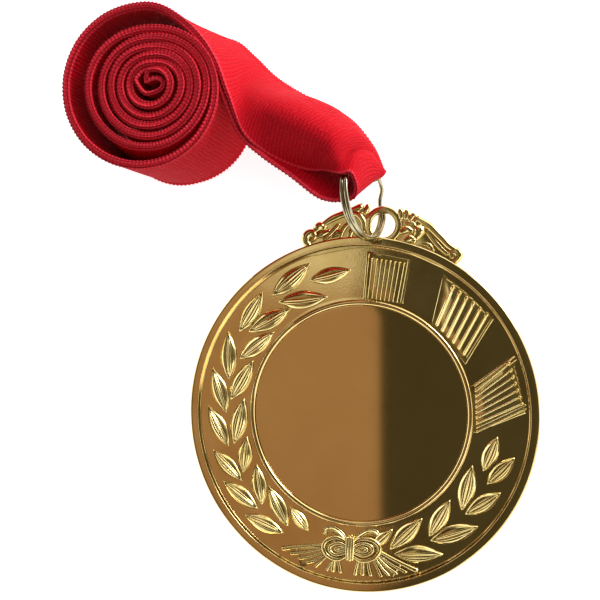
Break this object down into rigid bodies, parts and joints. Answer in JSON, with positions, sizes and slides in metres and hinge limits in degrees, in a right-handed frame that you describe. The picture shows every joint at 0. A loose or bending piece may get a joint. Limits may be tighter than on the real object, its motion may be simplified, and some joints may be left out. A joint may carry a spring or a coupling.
{
  "type": "award medal with neck ribbon",
  "caption": "Round gold award medal with a laurel wreath and a blank mirror centre, a crest with an eyelet, a split ring through it and a red woven neck ribbon rolled up beside it.",
  "frame": {"origin": "centre of the medal on its flat back, which is the plane it lies on", "axes": "+Z out of the medal's face, +Y from its centre to its eyelet"},
  "size_m": [0.0915, 0.1009, 0.02],
  "materials": {
    "gold_plating": "polished plating",
    "mirror_gold": "mirror",
    "adhesive": "film",
    "ring_wire": "polished, pale plating",
    "red_ribbon": "woven polyester"
  },
  "bodies": {
    "medal": {"medal_body": "gold_plating", "centre_disc": "mirror_gold", "disc_adhesive": "adhesive"},
    "split_ring": {"split_ring": "ring_wire"},
    "ribbon": {"ribbon_roll": "red_ribbon", "ribbon_upper_leg": "red_ribbon", "ribbon_lower_leg": "red_ribbon", "ribbon_ring_fold": "red_ribbon"}
  },
  "joints": [
    {"name": "ring_swing", "type": "hinge", "parent": "medal", "child": "split_ring", "pos_m": [0.0001, 0.0377, 0.00255], "axis": [1, 0, 0], "range_deg": [-120, 4]},
    {"name": "ribbon_swing", "type": "hinge", "parent": "split_ring", "child": "ribbon", "pos_m": [-0.00488, 0.04606, 0.00795], "axis": [0.2924, 0.0702, -0.9537], "range_deg": [0, 75]}
  ]
}
